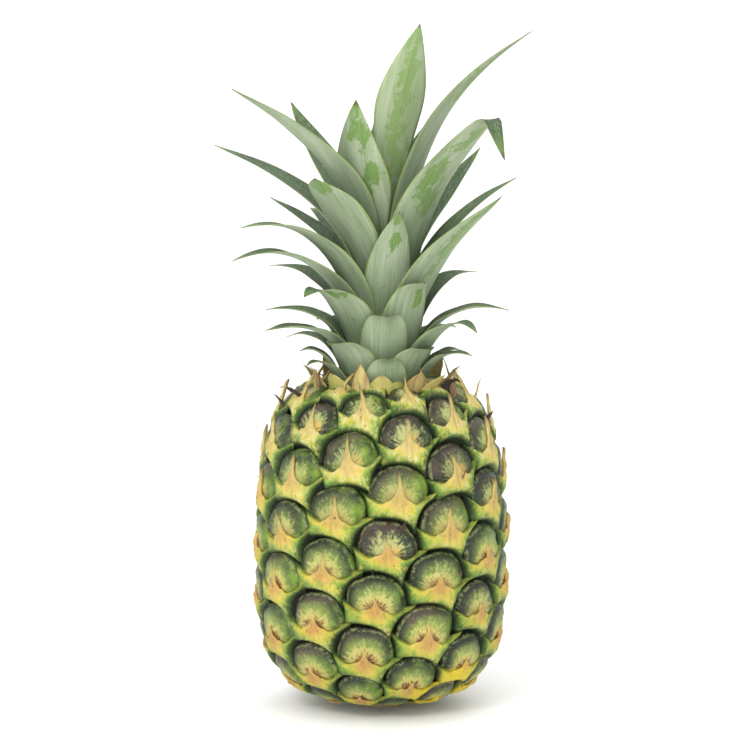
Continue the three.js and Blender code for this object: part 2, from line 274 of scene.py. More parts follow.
def make_piece(name, points, faces, fields=None):
    """A smooth mesh object from points in millimetres, with named vector fields on its points."""
    mesh = bpy.data.meshes.new(name)
    mesh.from_pydata((np.asarray(points) * MM).tolist(), [], faces)
    mesh.polygons.foreach_set("use_smooth", [True] * len(mesh.polygons))
    for field, values in (fields or {}).items():
        layer = mesh.attributes.new(field, "FLOAT_VECTOR", "POINT")
        layer.data.foreach_set("vector", np.asarray(values, np.float32).ravel())
    mesh.update()
    piece = bpy.data.objects.new(name, mesh)
    bpy.context.scene.collection.objects.link(piece)
    return piece


class Heap:
    """Closed patches gathered into one mesh."""

    def __init__(self):
        self.points = []
        self.faces = []
        self.fields = {}

    def add(self, points, faces, **fields):
        start = len(self.points)
        self.points.extend(points)
        self.faces.extend(tuple(start + i for i in face) for face in faces)
        for name, values in fields.items():
            self.fields.setdefault(name, []).extend(values)

    def piece(self, name):
        return make_piece(name, self.points, self.faces, self.fields)


def grid_faces(rows, columns, start=0, wrap=False):
    """Quads over a grid of points stored row by row."""
    faces = []
    for r in range(rows - 1):
        for c in range(columns if wrap else columns - 1):
            d = (c + 1) % columns
            here, above = start + r * columns, start + (r + 1) * columns
            faces.append((here + c, here + d, above + d, above + c))
    return faces


def grid_rim(rows, columns):
    """Numbers of the points round the edge of a grid."""
    foot = list(range(columns))
    right = [r * columns + columns - 1 for r in range(1, rows)]
    top = [(rows - 1) * columns + c for c in range(columns - 2, -1, -1)]
    left = [r * columns for r in range(rows - 2, 0, -1)]
    return np.array(foot + right + top + left)


# The fruit


def barrel_radius(height):
    above = height > WIDEST_HEIGHT
    rise, fullness, root = (np.where(above, SHOULDER[k], BELLY[k]) for k in ("rise", "fullness", "root"))
    share = np.abs(height - WIDEST_HEIGHT) / rise
    return FRUIT_RADIUS * np.maximum(0, 1 - share**fullness) ** root


def make_profile():
    """Rise on the spiral, radius and height up the side, with cells that shrink to both ends."""
    swing = np.sin(np.linspace(-0.5, 0.5, PROFILE_STEPS + 1) * math.pi)
    height = WIDEST_HEIGHT + swing * np.where(swing > 0, SHOULDER["rise"], BELLY["rise"])
    radius = barrel_radius(height)
    step = np.hypot(np.diff(radius), np.diff(height))
    middle = np.maximum(POLE_RADIUS, (radius[1:] + radius[:-1]) / 2)
    rise = np.concatenate([[0], np.cumsum(step * (FRUIT_RADIUS / middle) ** CELL_SHRINK)])
    return rise - np.interp(WIDEST_HEIGHT, height, rise), radius, height


RISE, RADIUS, HEIGHT = make_profile()


def on_skin(turn, rise, lift):
    """Points over the skin: turn in radians, rise on the spiral, lift along the skin's normal."""
    radius = np.interp(rise, RISE, RADIUS)
    height = np.interp(rise, RISE, HEIGHT)
    above, below = rise + SLOPE_STEP, rise - SLOPE_STEP
    run = np.interp(above, RISE, RADIUS) - np.interp(below, RISE, RADIUS)
    climb = np.interp(above, RISE, HEIGHT) - np.interp(below, RISE, HEIGHT)
    slope = np.hypot(run, climb) + 1e-9
    lift = lift * np.clip(radius / FRUIT_RADIUS, 0.2, 1) ** 0.5
    flat_foot = ease(radius, FOOT_RADIUS * 0.8, FOOT_RADIUS * 1.6)
    lift = np.where(rise < 0, lift * flat_foot, lift)
    rho = radius + climb * lift / slope
    tall = np.maximum(height - run * lift / slope, LOWEST_HEIGHT)
    return np.stack([rho * np.sin(turn), -rho * np.cos(turn), tall], -1)


def make_bed():
    """The rind under the eyes, seen only in the grooves between them."""
    rises = np.linspace(RISE[0] + BED_MARGIN, RISE[-1] - BED_MARGIN, BED_ROWS)
    turns = np.arange(BED_COLUMNS) * 2 * math.pi / BED_COLUMNS
    turn, rise = np.meshgrid(turns, rises)
    points = on_skin(turn, rise, np.full(turn.shape, BED_LIFT)).reshape(-1, 3)
    faces = grid_faces(BED_ROWS, BED_COLUMNS, wrap=True)
    faces.append(tuple(reversed(range(BED_COLUMNS))))
    faces.append(tuple(range((BED_ROWS - 1) * BED_COLUMNS, BED_ROWS * BED_COLUMNS)))
    return make_piece("rind_bed", points, faces)


def make_eye(step):
    """Turn, rise, tilt, size and chances of one eye of the spiral."""
    return {
        "turn": FIRST_TURN + step * DIVERGENCE,
        "rise": FIRST_RISE + step * EYE_RISE,
        "tilt": chance.normal(0, EYE_TILT),
        "size": 1 + chance.normal(0, EYE_SIZE_SPREAD),
        "chance": chance.random(3),
        "wave": chance.normal(0, 1, 6),
    }


def place_in_eye(eye, x, y, lift):
    """Takes points of one eye's own place onto the skin."""
    c, s = math.cos(eye["tilt"]), math.sin(eye["tilt"])
    across = (x * c - y * s) * eye["size"]
    up = (x * s + y * c) * eye["size"]
    return on_skin(eye["turn"] + across / FRUIT_RADIUS, eye["rise"] + up, lift)


def dome_share(x, y):
    """0 in the middle of an eye's cushion and 1 on its rim."""
    depth = np.where(y > 0, DOME_TOP, DOME_BOTTOM)
    p = DOME_SQUARENESS
    return (np.abs(x / DOME_HALF_WIDTH) ** p + np.abs(y / depth) ** p) ** (1 / p)


def dome_outline(eye, angle):
    """Direction to a cushion's rim: squarish, with soft corners that differ from eye to eye."""
    w = eye["wave"]
    wobble = 1 + 0.024 * (w[0] * np.sin(2 * angle + w[3]) + w[1] * np.sin(3 * angle + w[4]))
    wobble = wobble + 0.024 * np.cos(5 * angle + w[5]) + 0.014 * w[2] * np.sin(7 * angle + w[0])
    power = 2 / DOME_SQUARENESS
    cos = np.sign(np.cos(angle)) * np.abs(np.cos(angle)) ** power
    sin = np.sign(np.sin(angle)) * np.abs(np.sin(angle)) ** power
    return cos * wobble, sin * wobble


def dome_lift(eye, x, y, r):
    """Height of a cushion over the barrel: a steep roll at its rim, two hollows by the point."""
    w = eye["wave"]
    lift = DOME_HEIGHT * (1 - np.clip(r, 0, 1) ** DOME_ROLL) - GROOVE_DEPTH
    lift = lift - SUNK_LOWER * ease(-y, -2, 5)
    for side in (-1, 1):
        beside = (x - side * HOLLOW["x"]) / HOLLOW["wide"]
        over = (y - HOLLOW["y"]) / HOLLOW["tall"]
        lift = lift - HOLLOW["deep"] * np.exp(-(beside**2 + over**2))
    lumps = np.sin(x * 0.9 + w[3]) * np.sin(y * 0.8 + w[4]) + 0.6 * np.sin(x * 1.7 - y * 1.1 + w[5])
    return lift + LUMP_HEIGHT * lumps * (1 - r**4)


def dome_faces():
    """Faces of one cushion: a fan at the top, rings down to the rim and a fan below."""
    rim = 1 + (DOME_RINGS - 1) * DOME_SPOKES
    below = 1 + DOME_RINGS * DOME_SPOKES
    faces = [tuple(reversed(f)) for f in grid_faces(DOME_RINGS, DOME_SPOKES, 1, wrap=True)]
    for k in range(DOME_SPOKES):
        n = (k + 1) % DOME_SPOKES
        faces.append((0, 1 + k, 1 + n))
        faces.append((below, rim + n, rim + k))
    return faces


def make_domes(eyes):
    """The green cushions of the eyes, each a closed patch of rings with two hollows."""
    heap = Heap()
    share = 1 - (1 - np.arange(1, DOME_RINGS + 1) / DOME_RINGS) ** RING_CROWDING
    angle = np.arange(DOME_SPOKES) * 2 * math.pi / DOME_SPOKES
    r = np.concatenate([[0], np.repeat(share, DOME_SPOKES), [1]])
    for eye in eyes:
        cos, sin = dome_outline(eye, angle)
        depth = np.where(sin > 0, DOME_TOP, DOME_BOTTOM)
        x = np.concatenate([[0], np.outer(share, DOME_HALF_WIDTH * cos).ravel(), [0]])
        y = np.concatenate([[0], np.outer(share, depth * sin).ravel(), [0]])
        lift = dome_lift(eye, x, y, r)
        lift[-1] = -GROOVE_DEPTH - 2
        place = np.stack([x / UNIT, y / UNIT, r], -1)
        rise = np.full(x.shape, eye["rise"] / RISE_UNIT)
        fan = np.stack([np.arctan2(x, y + 3), np.hypot(x, y + 3) / UNIT, rise], -1)
        luck = [eye["chance"]] * len(x)
        heap.add(place_in_eye(eye, x, y, lift), dome_faces(), place=place, fan=fan, luck=luck)
    return heap.piece("eye_domes")


def spire_length(eye):
    """Length of a bract's point over its wings: long at the shoulder, short and dry low down."""
    length = np.interp(eye["rise"], [-80, -35, 0, 40, 80, 105], [5.0, 7.0, 9.0, 10.5, 14.0, 11])
    length = length * (0.85 + 0.3 * eye["chance"][0])
    return length * (0.55 if eye["chance"][1] < STUMPS * ease(-eye["rise"], -30, 30) else 1)


def bract_edges(x, length):
    """Lowest and highest y of a bract at x: a spire between two scallops, and raised wings."""
    side = np.abs(x)
    flare = np.interp(side, [0, 0.6, 1.2, 2.2, 3.7, SPIRE_WIDTH], [0, 0.33, 0.6, 0.8, 0.94, 1])
    spire = length - (length - SCALLOP) * flare
    knots = [SPIRE_WIDTH, 7, 9, 12, 15, WING_SPAN]
    scallop = np.interp(side, knots, [SCALLOP, -3.5, -3.8, -2.6, -0.7, 2.2])
    top = np.where(side < SPIRE_WIDTH, spire, scallop)
    foot = np.interp(side, [0, 9, 13, 16, 17.6, WING_SPAN], [-18, -18, -15, -10, -4, 1.7])
    return foot, top


def neighbour_offsets():
    """Places of the six neighbouring eyes, in an eye's own millimetres."""
    offsets = []
    for steps, turns in NEIGHBOURS:
        turn = steps * DIVERGENCE + turns * 2 * math.pi
        offsets.append((turn * FRUIT_RADIUS, steps * EYE_RISE))
    return offsets


def gap_to_domes(x, y):
    """Distance in millimetres to the rim of the nearest neighbour's cushion, below zero under it."""
    gap = np.full(x.shape, FAR_OFF)
    for dx, dy in neighbour_offsets():
        gap = np.minimum(gap, (dome_share(x - dx, y - dy) - 1) * RIM_UNIT)
    return gap


def bract_height(x, y, top, length, gap, proud):
    """Height of a bract over the barrel: a rounded ridge that dives into the grooves."""
    side = np.abs(x)
    body = BRACT_BODY - 1.6 * (side / WING_SPAN) ** 1.6 - 1.2 * ease(-y, 7, 17)
    body = body - BRACT_DIVE * (1 - ease(gap, -1.6, 0.9))
    above = np.clip(y - SCALLOP, 0, None) / (length - SCALLOP)
    ridge = np.maximum(0, 1 - side / SPIRE_WIDTH)
    spire = (SPIRE_RIDGE + proud * above**1.5) * ease(y, -6, 1) * ridge**0.5
    return body + spire - 0.5 * ease(y - top, -1.3, 0)


def bract_lift(eye, x, y, top, length, gap):
    """Height of one eye's bract, with low waves that differ from eye to eye."""
    proud = mix(LOW_PROUD, HIGH_PROUD, ease(eye["rise"], -10, 60))
    lift = bract_height(x, y, top, length, gap, proud)
    fine = 0.25 * np.sin(x * 1.9 + eye["wave"][1])
    broad = 0.35 * np.sin(x * 0.7 + y * 0.9 + eye["wave"][2])
    return lift + (fine + broad) * ease(gap, 0, 3)


def lean_spire(eye, x, y):
    """Bends a bract's point to the side."""
    up = np.clip(y, 0, None)
    bend = eye["wave"][0] * 0.1 + eye["wave"][4] * 0.012 * up
    return x + bend * up * (np.abs(x) < SPIRE_WIDTH)


def shoulder_stand(eye, y, lift):
    """Bracts' points on the shoulder stand up off the skin."""
    stand = ease(eye["rise"], 44, 92) * (0.75 + 0.5 * eye["chance"][2])
    up = np.clip(y, 0, None)
    return y - 0.5 * stand * up, lift + 0.75 * stand * up


def bract_faces(rim):
    """Faces of one bract: its grid, a thin edge and a fan that closes it below."""
    faces = grid_faces(BRACT_ROWS, BRACT_COLUMNS)
    below = BRACT_ROWS * BRACT_COLUMNS
    middle = below + len(rim)
    for k, corner in enumerate(rim):
        n = (k + 1) % len(rim)
        faces.append((int(rim[n]), int(corner), below + k, below + n))
        faces.append((below + n, below + k, middle))
    return faces


def make_bracts(eyes):
    """The bracts of the eyes, each a closed patch with its point standing over the cushion."""
    heap = Heap()
    u = np.linspace(-1, 1, BRACT_COLUMNS)
    x_line = WING_SPAN * (0.5 * u + 0.5 * u**3)
    v = 1 - (1 - np.linspace(0, 1, BRACT_ROWS)) ** BRACT_CROWDING
    rim = grid_rim(BRACT_ROWS, BRACT_COLUMNS)
    order = np.concatenate([np.arange(BRACT_ROWS * BRACT_COLUMNS), rim, [0]])
    for eye in eyes:
        length = spire_length(eye)
        foot, top = bract_edges(x_line, length)
        y = foot + (top - foot) * v[:, None]
        x = np.repeat(x_line[None, :], BRACT_ROWS, 0)
        gap = gap_to_domes(x, y)
        lift = bract_lift(eye, x, y, top, length, gap)
        x = lean_spire(eye, x, y)
        rise, lift = shoulder_stand(eye, y, lift)
        x, y, gap, rise, lift = (a.ravel() for a in (x, y, gap, rise, lift))
        points = place_in_eye(eye, x[order], rise[order], lift[order])
        points[len(x) : -1] = place_in_eye(eye, x[rim], rise[rim], lift[rim] - BRACT_EDGE)
        points[-1] = place_in_eye(eye, *(np.array([value]) for value in BRACT_HEART))[0]
        place = np.stack([x / UNIT, y / UNIT, x / (length + 3 - y)], -1)
        height = np.full(x.shape, eye["rise"] / RISE_UNIT)
        shade = np.stack([gap / GAP_UNIT, np.clip(y, 0, None) / length, height], -1)
        luck = [eye["chance"]] * len(order)
        heap.add(points, bract_faces(rim), place=place[order], shade=shade[order], luck=luck)
    return heap.piece("eye_bracts")


# The crown

UPPER = RISE > 0
CROWN_FOOT = float(np.interp(-CROWN_RADIUS, -RADIUS[UPPER], HEIGHT[UPPER]))


def place_leaf(index):
    """A leaf's own sizes, where its foot is set on the stem, and how it starts out."""
    share = index / (len(CROWN_LEAVES) - 1)
    foot_height = CROWN_FOOT + mix(LOWEST_LEAF, HIGHEST_LEAF, share**LEAF_CROWDING)
    stem = mix(STEM_FOOT_RADIUS, STEM_TOP_RADIUS, (foot_height - CROWN_FOOT) / STEM_HEIGHT)
    sizes = zip(("turn", "reach", "top", "end_lean", "width"), CROWN_LEAVES[index])
    leaf = {**PLAIN_LEAF, **dict(sizes), **LEAF_HABITS.get(index + 1, {})}
    leaf.update(foot_height=foot_height, foot_radius=stem + LEAF_CLEARANCE)
    leaf.update(start_lean=mix(OUTER_LEAN, INNER_LEAN, share))
    return leaf


def heading(lean):
    return np.array([math.sin(math.radians(lean)), math.cos(math.radians(lean))])


def fold_line(line, tip, fold):
    """Adds a straight drop past the tip of a leaf's line and rounds the fold off."""
    lean, length = fold
    drop = tip + heading(lean) * length
    line = np.concatenate([line, mix(tip, drop, np.linspace(0, 1, FOLD_STEPS)[1:, None])])
    kernel = np.ones(FOLD_ROUNDING) / FOLD_ROUNDING
    middle = np.stack([np.convolve(line[:, i], kernel, "valid") for i in (0, 1)], -1)
    kept = FOLD_ROUNDING // 2
    return np.concatenate([line[:kept], middle, line[-kept:]])


def leaf_line(leaf):
    """Places and directions along a leaf's middle, evenly spaced, as (reach, height)."""
    foot = np.array([leaf["foot_radius"], leaf["foot_height"]])
    tip = np.array([leaf["reach"], leaf["top"]], float)
    pull = np.hypot(*(tip - foot)) * LEAF_BEND
    a = foot + heading(leaf["start_lean"]) * pull
    b = tip - heading(leaf["end_lean"]) * pull
    t = np.linspace(0, 1, LINE_STEPS)[:, None]
    line = (1 - t) ** 3 * foot + 3 * (1 - t) ** 2 * t * a + 3 * (1 - t) * t**2 * b + t**3 * tip
    if leaf["fold"]:
        line = fold_line(line, tip, leaf["fold"])
    run = np.concatenate([[0], np.cumsum(np.hypot(*np.diff(line, axis=0).T))])
    want = np.linspace(0, run[-1], LEAF_STATIONS + 1)
    place = np.stack([np.interp(want, run, line[:, i]) for i in (0, 1)], -1)
    along = np.gradient(place, axis=0)
    return place, along / np.linalg.norm(along, axis=1)[:, None], run[-1]


def curl_line(start, length, lean, curl, stations):
    """Places and directions along a blade that leans off its foot and curls evenly."""
    share = np.linspace(0, 1, stations + 1)
    angle = np.radians(lean + curl * share**1.4)
    along = np.stack([np.sin(angle), np.cos(angle)], -1)
    steps = (along[1:] + along[:-1]) / 2 * length / stations
    place = np.concatenate([[[0, 0]], np.cumsum(steps, axis=0)]) + np.array(start)
    return place, along, length


def blade_faces(stations, columns):
    """Faces of a closed blade, two skins wide, with both its ends shut."""
    size = 2 * (columns + 1)
    faces = [tuple(reversed(f)) for f in grid_faces(stations + 1, size, wrap=True)]
    faces.append(tuple(range(size)))
    faces.append(tuple(reversed(range(stations * size, (stations + 1) * size))))
    return faces


def blade_points(line, half, curl, columns, wave, sway, thick):
    """Points (out, across, up) of a channelled blade, and its fields, station by station."""
    place, along, length = line
    share = np.linspace(0, 1, len(place))
    sides = np.linspace(-1, 1, columns + 1)
    ones = np.ones(sides.shape)
    points, fields, sheet = [], [], []
    for k, s in enumerate(share):
        outer = np.array([along[k, 1], -along[k, 0]])
        fade = ease(s, 0.25, 0.6) * (1 - s**3)
        swell = 0.45 * math.sin(s * 9 + wave[0]) + 0.25 * math.sin(s * 17 + wave[1])
        for face in (1, -1):
            side = sides * -face
            keel = 0.5 * np.exp(-((side / 0.22) ** 2)) * ease(s, 0.1, 0.5) * (1 - s) * face
            reach = curl[k] + face * thick * mix(1.0, 0.4, side**2) * mix(1.0, 0.5, s)
            bend = min(half[k] / curl[k], MOST_CURL) * side
            ripple = side**2 * fade * swell
            inward = curl[k] - reach * np.cos(bend) - keel * 0.3 + ripple * thick / LEAF_THICK
            across = reach * np.sin(bend) + sway * s**2
            flat = place[k] - outer * inward[:, None]
            points.append(np.stack([flat[:, 0], across, flat[:, 1]], -1))
            run = ones * s * length / LENGTH_UNIT
            fields.append(np.stack([side * half[k] / UNIT, run, ones * face], -1))
            sheet.append(np.stack([ones * wave[2], ones * s, side], -1))
    return np.concatenate(points), np.concatenate(fields), np.concatenate(sheet)


def set_up(points, turn, origin=(0, 0, 0), tilt=0.0):
    """Turns (out, across, up) into the shared frame: out points to the turn, tilted off level."""
    level, upright = math.cos(tilt), math.sin(tilt)
    out = np.array([math.sin(turn) * level, -math.cos(turn) * level, upright])
    right = np.array([math.cos(turn), math.sin(turn), 0])
    up = np.array([-math.sin(turn) * upright, math.cos(turn) * upright, level])
    return np.array(origin) + points[:, :1] * out + points[:, 1:2] * right + points[:, 2:] * up


def wear_of(index, share, side):
    """How far a leaf's bloom is rubbed off at a place along and across it."""
    worn = np.zeros(share.shape)
    for at, across, long, wide in RUBBED.get(index + 1, []):
        near = ((share - at) / long) ** 2 + ((side - across) / wide) ** 2
        worn = np.maximum(worn, np.exp(-near))
    return worn


def leaf_half_width(leaf, share, reach):
    """Half width along a leaf: its blade's, held to what the sheath can wrap near the stem."""
    taper = (1 - share ** leaf["fullness"]) ** LEAF_TAPER
    blade = leaf["width"] / 2 * taper + 1e-6
    sheath = reach * SHEATH_WRAP
    widest = (blade**-SHEATH_BLEND + sheath**-SHEATH_BLEND) ** (-1 / SHEATH_BLEND)
    return np.maximum(LEAF_POINT * (1 - 0.6 * share), widest)


def make_leaf(index):
    """One leaf: a channelled blade curled round the stem at its foot, closed along its edges."""
    leaf = place_leaf(index)
    wave = chance.normal(0, 1, 4)
    line = leaf_line(leaf)
    share = np.linspace(0, 1, LEAF_STATIONS + 1)
    half = leaf_half_width(leaf, share, line[0][:, 0])
    curl = mix(leaf["foot_radius"], leaf["width"], ease(share, 0, SHEATH_SHARE))
    blade = blade_points(line, half, curl, LEAF_COLUMNS, wave, leaf["sway"], LEAF_THICK)
    points, place, sheet = blade
    points = set_up(points, math.radians(leaf["turn"]))
    worn = wear_of(index, sheet[:, 1], sheet[:, 2] * place[:, 2])
    ones = np.ones(worn.shape)
    wear = np.stack([worn, ones * wave[3], ones * index / len(CROWN_LEAVES)], -1)
    luck = ones[:, None] * chance.random(3)
    fields = {"place": place, "sheet": sheet, "wear": wear, "luck": luck}
    faces = blade_faces(LEAF_STATIONS, LEAF_COLUMNS)
    return make_piece(f"crown_leaf_{index + 1:02d}", points, faces, fields)


def dry_threads():
    """Thin dry threads left on the fruit."""
    threads = []
    for _ in range(THREADS):
        turn, height = chance.uniform(-180, 180), chance.uniform(14, 130)
        length, width = chance.uniform(5, 11), chance.uniform(0.9, 1.8)
        lean, curl = chance.uniform(10, 75), chance.uniform(-60, 60)
        threads.append((turn, height, length, width, lean, curl, chance.uniform(0.15, 0.6)))
    return threads


def skin_seat(angle, height):
    """A place just over the skin, and how far the skin there leans back from upright."""
    rise = float(np.interp(height, HEIGHT, RISE))
    stand = np.array(BLADE_STAND)
    origin = on_skin(np.array(angle), np.array(rise), stand)
    beside = on_skin(np.array(angle), np.array(rise + SLOPE_STEP), stand) - origin
    outward = beside[0] * math.sin(angle) - beside[1] * math.cos(angle)
    return origin, math.atan2(-outward, beside[2])


def make_blades(name, blades):
    """Small dry blades on the skin: bracts at the crown's foot, withered curls and threads."""
    heap = Heap()
    share = np.linspace(0, 1, BLADE_STATIONS + 1)
    for turn, height, length, width, lean, curl, tone in blades:
        angle = math.radians(turn)
        origin, slope = skin_seat(angle, height)
        broad = width > BRACT_WIDTH
        wave = chance.normal(0, 1, 4)
        start = (-BLADE_STAND, 0)
        line = curl_line(start, length, lean + math.degrees(slope), curl, BLADE_STATIONS)
        half = np.maximum(BLADE_POINT, width / 2 * (1 - share ** (1.8 if broad else 4)))
        bend = np.full(share.shape, width * (0.9 if broad else 0.36))
        sway = wave[3] * 0.8
        blade = blade_points(line, half, bend, BLADE_COLUMNS, wave, sway, BLADE_THICK)
        points, place, sheet = blade
        points = set_up(points, angle, origin, slope)
        ones = np.ones(len(points))[:, None]
        fields = {"luck": ones * chance.random(3), "wear": ones * np.array([tone, 0, 0])}
        faces = blade_faces(BLADE_STATIONS, BLADE_COLUMNS)
        heap.add(points, faces, place=place, sheet=sheet, **fields)
    return heap.piece(name)


# Materials


class Paint:
    """A material with short calls for its nodes. A value may be a number, a colour or a socket."""

    def __init__(self, name):
        self.material = bpy.data.materials.new(name)
        self.material.use_nodes = True
        self.tree = self.material.node_tree
        self.shader = self.tree.nodes["Principled BSDF"]
        self.colour = None

    def put(self, value, socket):
        if isinstance(value, bpy.types.NodeSocket):
            self.tree.links.new(value, socket)
        elif isinstance(value, tuple) and len(value) == 3 and socket.type == "RGBA":
            socket.default_value = (*value, 1)
        else:
            socket.default_value = value

    def set(self, **values):
        for name, value in values.items():
            self.put(value, self.shader.inputs[name.replace("_", " ")])

    def node(self, kind, inputs, operation=None):
        """A new node of a kind, with the inputs that are named or numbered filled in."""
        node = self.tree.nodes.new("ShaderNode" + kind)
        if operation:
            node.operation = operation
        for name, value in inputs.items():
            self.put(value, node.inputs[name])
        return node

    def field(self, name):
        node = self.node("Attribute", {})
        node.attribute_name = name
        return node.outputs["Vector"]

    def parts(self, name):
        """The three numbers of a field."""
        return tuple(self.node("SeparateXYZ", {0: self.field(name)}).outputs)

    def where(self):
        return self.node("TexCoord", {}).outputs["Object"]

    def stretch(self, vector, scale):
        return self.node("Mapping", {"Vector": vector, "Scale": scale}).outputs[0]

    def shifted(self, vector, offset):
        """A place moved far off by an offset of 0 to 1, so that no two eyes or leaves look alike."""
        inputs = {0: offset, 1: (37.0, 53.0, 71.0), 2: vector}
        return self.node("VectorMath", inputs, "MULTIPLY_ADD").outputs[0]

    def distance(self, vector, point):
        return self.node("VectorMath", {0: vector, 1: point}, "DISTANCE").outputs["Value"]

    def noise(self, vector, scale, detail=4.0, rough=0.6, warp=0.0):
        inputs = {"Scale": scale, "Detail": detail, "Roughness": rough, "Distortion": warp}
        return self.node("TexNoise", {"Vector": vector, **inputs}).outputs["Fac"]

    def dots(self, vector, scale):
        return self.node("TexVoronoi", {"Vector": vector, "Scale": scale}).outputs["Distance"]

    def sum(self, operation, a, b=0.0, c=0.0):
        return self.node("Math", {0: a, 1: b, 2: c}, operation).outputs[0]

    def plus(self, value, other, amount):
        """A value with so much of another added."""
        return self.sum("MULTIPLY_ADD", other, amount, value)

    def stir(self, value, noise, amount):
        """A value moved up and down by a noise round its middle."""
        return self.plus(value, self.sum("SUBTRACT", noise, 0.5), amount)

    def times(self, *values):
        total = values[0]
        for value in values[1:]:
            total = self.sum("MULTIPLY", total, value)
        return total

    def length(self, x, y, stretch=1.0):
        """Distance from the middle, with y stretched."""
        squares = self.times(y, y) if stretch == 1.0 else self.times(y, y, stretch)
        return self.sum("SQRT", self.sum("ADD", self.times(x, x), squares))

    def fade(self, value, low, high):
        """0 at low and 1 at high, smooth between. Low may be the larger number."""
        inputs = {"Value": value, "From Min": min(low, high), "From Max": max(low, high)}
        inputs["To Min"], inputs["To Max"] = (1.0, 0.0) if low > high else (0.0, 1.0)
        node = self.node("MapRange", inputs)
        node.interpolation_type = "SMOOTHSTEP"
        return node.outputs[0]

    def overlap(self, *fades):
        """How far several fades hold at once, each given as a value, its low and its high."""
        return self.times(*(self.fade(*fade) for fade in fades))

    def mix(self, share, a, b):
        node = self.tree.nodes.new("ShaderNodeMix")
        node.data_type = "RGBA"
        self.put(share, node.inputs["Factor"])
        self.put(a, node.inputs[6])
        self.put(b, node.inputs[7])
        return node.outputs[2]

    def coat(self, share, strength, colour):
        """Lays a colour over what is painted so far, as far as a share times a strength."""
        self.colour = self.mix(self.times(share, strength), self.colour, colour)

    def ramp(self, value, stops):
        node = self.tree.nodes.new("ShaderNodeValToRGB")
        marks = node.color_ramp.elements
        while len(marks) < len(stops):
            marks.new(0.5)
        for mark, (at, colour) in zip(marks, stops):
            mark.position = at
            mark.color = (*colour, 1)
        self.put(value, node.inputs[0])
        return node.outputs[0]

    def rough(self, value, low, high):
        """Roughness that follows a value, each end given as the value and its roughness."""
        self.set(Roughness=self.ramp(value, [(at, (grey,) * 3) for at, grey in (low, high)]))

    def bump(self, height, strength, distance):
        inputs = {"Height": height, "Strength": strength, "Distance": distance}
        self.set(Normal=self.node("Bump", inputs).outputs[0])


def rgb(red, green, blue):
    """A colour as seen on a screen, 0 to 255, made linear for the shaders."""
    shares = [value / 255 for value in (red, green, blue)]
    return tuple(v / 12.92 if v < 0.04045 else ((v + 0.055) / 1.055) ** 2.4 for v in shares)


# Colours of the eyes' cushions
CUSHION_GREENS = [
    (0.4, rgb(20, 27, 15)),
    (0.54, rgb(38, 52, 22)),
    (0.64, rgb(72, 96, 28)),
    (0.8, rgb(112, 140, 34)),
]

# Colours of the bracts, from the grooves to the middle, and what lies over them
BRACT_COLOURS = [
    (0.02, rgb(52, 84, 20)),
    (0.16, rgb(98, 132, 36)),
    (0.32, rgb(160, 176, 66)),
    (0.5, rgb(204, 190, 66)),
    (0.74, rgb(214, 188, 92)),
]
SPIRE_COLOURS = [(0.35, rgb(176, 152, 88)), (0.6, rgb(222, 202, 126))]
# The rind at the bottom of the grooves: its dark green darkened near-black with painted shade of the
# grooves
BED_COLOURS = [(0.35, rgb(16, 26, 8)), (0.7, rgb(48, 66, 24))]

# The ripe yellow patch low on the right of the picture's side, in metres
RIPE_PLACE = (0.034, -0.036, 0.004)
RIPE_OUTER, RIPE_INNER = 0.03, 0.018

# Colours of the leaves' two faces
LEAF_BLOOM = [(0.34, rgb(118, 136, 102)), (0.5, rgb(150, 165, 132)), (0.66, rgb(184, 192, 166))]
LEAF_RUBBED = [(0.35, rgb(82, 120, 44)), (0.65, rgb(122, 154, 72))]
LEAF_INNER = [(0.38, rgb(44, 66, 40)), (0.62, rgb(92, 118, 72))]

# Colours of the dry blades, from withered black to straw and yellow-green
DRY_COLOURS = [
    (0.05, rgb(30, 22, 18)),
    (0.3, rgb(84, 58, 38)),
    (0.48, rgb(150, 122, 76)),
    (0.68, rgb(190, 174, 106)),
    (0.92, rgb(150, 164, 70)),
]

# Colours of the stalk and the stem, already linear
WOOD_COLOURS = [(0.3, (0.22, 0.15, 0.07)), (0.7, (0.56, 0.45, 0.26))]
WOOD_GREEN = (0.3, 0.28, 0.13)


def ripe_patch(paint):
    """1 in the ripe yellow patch and 0 away from it, with an uneven edge."""
    where = paint.where()
    wobble = paint.sum("MULTIPLY_ADD", paint.noise(where, 70.0), 0.014, -0.007)
    band = paint.sum("ADD", paint.distance(where, RIPE_PLACE), wobble)
    return paint.fade(band, RIPE_OUTER, RIPE_INNER)


def cushion_green(paint, x, y, luck, cloud, grain):
    """Mottled green, blackish on the left and above, lighter on some eyes, brownish on others."""
    a, b, _ = luck
    greens = paint.plus(cloud, x, 0.15)
    greens = paint.stir(greens, grain, 0.3)
    greens = paint.plus(greens, y, -0.1)
    greens = paint.plus(greens, paint.sum("SUBTRACT", a, 0.4), 0.26)
    paint.colour = paint.ramp(greens, CUSHION_GREENS)
    above = paint.plus(y, x, -0.5)
    dusk = paint.overlap((above, 0.05, 0.5), (b, 0.25, 0.7), (cloud, 0.4, 0.56))
    paint.coat(dusk, 0.8, rgb(72, 54, 50))


def cushion_heart(paint, x, y, luck, rays, frost):
    """Powdery bloom round the bract's point, whitest at the middle, where a painted sheen (a painted
    highlight) lies over it. Gives the bloom's share.
    """
    middle = paint.length(x, paint.sum("SUBTRACT", y, 0.1), 1.3)
    blotchy = paint.stir(paint.stir(middle, rays, 0.9), frost, 0.9)
    bloom = paint.overlap((blotchy, 0.47, 0.14), (luck[2], -0.5, 0.5))
    paint.coat(bloom, 0.9, rgb(186, 190, 120))
    # Painted sheen: the whitest bloom in the middle is lit up further with a painted highlight.
    bloom_and_painted_sheen = paint.overlap((blotchy, 0.22, 0.02), (frost, 0.45, 0.6))
    paint.coat(bloom_and_painted_sheen, 0.8, rgb(222, 222, 184))
    return bloom


